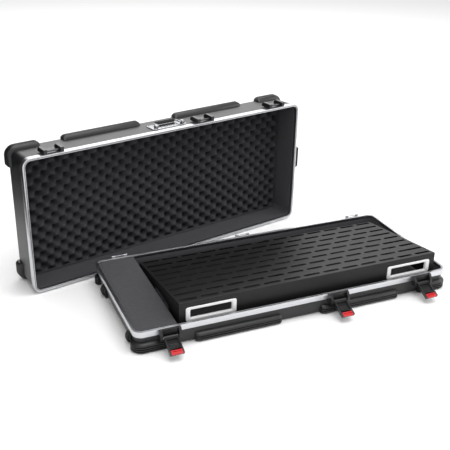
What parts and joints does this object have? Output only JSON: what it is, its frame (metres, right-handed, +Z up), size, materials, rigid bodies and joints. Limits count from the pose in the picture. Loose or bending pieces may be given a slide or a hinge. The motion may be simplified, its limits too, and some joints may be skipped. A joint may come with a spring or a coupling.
{
  "type": "pedalboard",
  "caption": "Sloping slotted pedalboard in the open base of a wheeled flight case, with the foam-lined lift-off lid standing on its edge behind.",
  "frame": {"origin": "middle of the flat underside of the case base", "axes": "+X along the case from the foam block to the open end, +Y from the latch side to the hinge side, +Z up"},
  "size_m": [1.5066, 0.997, 0.5508],
  "materials": {
    "case_abs": "leather-grain moulded ABS, black",
    "rim_aluminium": "satin extruded aluminium",
    "lid_foam": "open-cell egg-crate foam, charcoal",
    "grey_lining": "fabric-faced foam, dark grey",
    "powder_coat": "fine-texture black powder coat",
    "bay_frame": "satin white plastic",
    "foot_rubber": "moulded rubber",
    "wheel_rubber": "moulded rubber tyre on a plastic hub",
    "grip_rubber": "soft black grip",
    "hardware_chrome": "bright nickel plate",
    "latch_nylon": "glass-filled nylon, black",
    "release_red": "semi-gloss red plastic"
  },
  "bodies": {
    "case_base": {"base_bumper_front_left": "case_abs", "base_bumper_front_right": "case_abs", "base_bumper_rear_left": "case_abs", "base_bumper_rear_right": "case_abs", "base_floor_pad": "grey_lining", "base_rim": "rim_aluminium", "base_runner_front_left": "case_abs", "base_runner_front_right": "case_abs", "base_runner_rear_left": "case_abs", "base_runner_rear_right": "case_abs", "base_shell": "case_abs", "hinge_base_left": "hardware_chrome", "hinge_base_middle": "hardware_chrome", "hinge_base_right": "hardware_chrome", "latch_bracket_left": "latch_nylon", "latch_bracket_middle": "latch_nylon", "latch_bracket_right": "latch_nylon", "side_foam_block": "grey_lining", "wheel_axle_front": "hardware_chrome", "wheel_axle_rear": "hardware_chrome", "wheel_housing_front": "case_abs", "wheel_housing_rear": "case_abs"},
    "pedalboard": {"board_deck": "powder_coat", "board_end_left": "powder_coat", "board_end_right": "powder_coat", "board_foot_front_left": "foot_rubber", "board_foot_front_right": "foot_rubber", "board_foot_rear_left": "foot_rubber", "board_foot_rear_right": "foot_rubber", "patchbay_frame_left": "bay_frame", "patchbay_frame_right": "bay_frame"},
    "case_lid": {"handle_plate_end": "hardware_chrome", "handle_plate_top": "hardware_chrome", "hinge_lid_left": "hardware_chrome", "hinge_lid_middle": "hardware_chrome", "hinge_lid_right": "hardware_chrome", "latch_keeper_left": "latch_nylon", "latch_keeper_middle": "latch_nylon", "latch_keeper_right": "latch_nylon", "lid_bumper_front_left": "case_abs", "lid_bumper_front_right": "case_abs", "lid_bumper_rear_left": "case_abs", "lid_bumper_rear_right": "case_abs", "lid_foam": "lid_foam", "lid_rim": "rim_aluminium", "lid_runner_front_left": "case_abs", "lid_runner_front_right": "case_abs", "lid_runner_rear_left": "case_abs", "lid_runner_rear_right": "case_abs", "lid_shell": "case_abs"},
    "bail_end": {"handle_grip_end": "grip_rubber"},
    "bail_top": {"handle_grip_top": "grip_rubber"},
    "lever_left": {"latch_lever_left": "latch_nylon"},
    "lever_middle": {"latch_lever_middle": "latch_nylon"},
    "lever_right": {"latch_lever_right": "latch_nylon"},
    "release_left": {"latch_release_left": "release_red"},
    "release_middle": {"latch_release_middle": "release_red"},
    "release_right": {"latch_release_right": "release_red"},
    "roller_front": {"wheel_front": "wheel_rubber"},
    "roller_rear": {"wheel_rear": "wheel_rubber"}
  },
  "joints": [
    {"name": "board_lift", "type": "slide", "parent": "case_base", "child": "pedalboard", "axis": [0, 0, 1], "range_m": [0, 0.2]},
    {"name": "lid_lift", "type": "slide", "parent": "case_base", "child": "case_lid", "axis": [0, 0, 1], "range_m": [0, 0.2]},
    {"name": "latch_left_swing", "type": "hinge", "parent": "case_base", "child": "lever_left", "pos_m": [-0.495, -0.2765, 0.052], "axis": [-1, 0, 0], "range_deg": [0, 112]},
    {"name": "latch_middle_swing", "type": "hinge", "parent": "case_base", "child": "lever_middle", "pos_m": [0.141, -0.2765, 0.052], "axis": [-1, 0, 0], "range_deg": [0, 112]},
    {"name": "latch_right_swing", "type": "hinge", "parent": "case_base", "child": "lever_right", "pos_m": [0.495, -0.2765, 0.052], "axis": [-1, 0, 0], "range_deg": [0, 112]},
    {"name": "release_left_press", "type": "slide", "parent": "lever_left", "child": "release_left", "axis": [0, 0.9272, 0.3746], "range_m": [0, 0.003], "stiffness_N_per_m": 400},
    {"name": "release_middle_press", "type": "slide", "parent": "lever_middle", "child": "release_middle", "axis": [0, 0.9272, 0.3746], "range_m": [0, 0.003], "stiffness_N_per_m": 400},
    {"name": "release_right_press", "type": "slide", "parent": "lever_right", "child": "release_right", "axis": [0, 0.9272, 0.3746], "range_m": [0, 0.003], "stiffness_N_per_m": 400},
    {"name": "wheel_front_roll", "type": "hinge", "parent": "case_base", "child": "roller_front", "pos_m": [-0.6, -0.188, 0.027], "axis": [0, 1, 0], "continuous": true},
    {"name": "wheel_rear_roll", "type": "hinge", "parent": "case_base", "child": "roller_rear", "pos_m": [-0.6, 0.132, 0.027], "axis": [0, 1, 0], "continuous": true},
    {"name": "handle_top_fold", "type": "hinge", "parent": "case_lid", "child": "bail_top", "pos_m": [-0.25727, 0.40744, 0.53964], "axis": [0.9757, 0.219, 0], "range_deg": [0, 100]},
    {"name": "handle_end_fold", "type": "hinge", "parent": "case_lid", "child": "bail_end", "pos_m": [0.34879, 0.54347, 0.2695], "axis": [0, 0, -1], "range_deg": [-95, 5]}
  ]
}
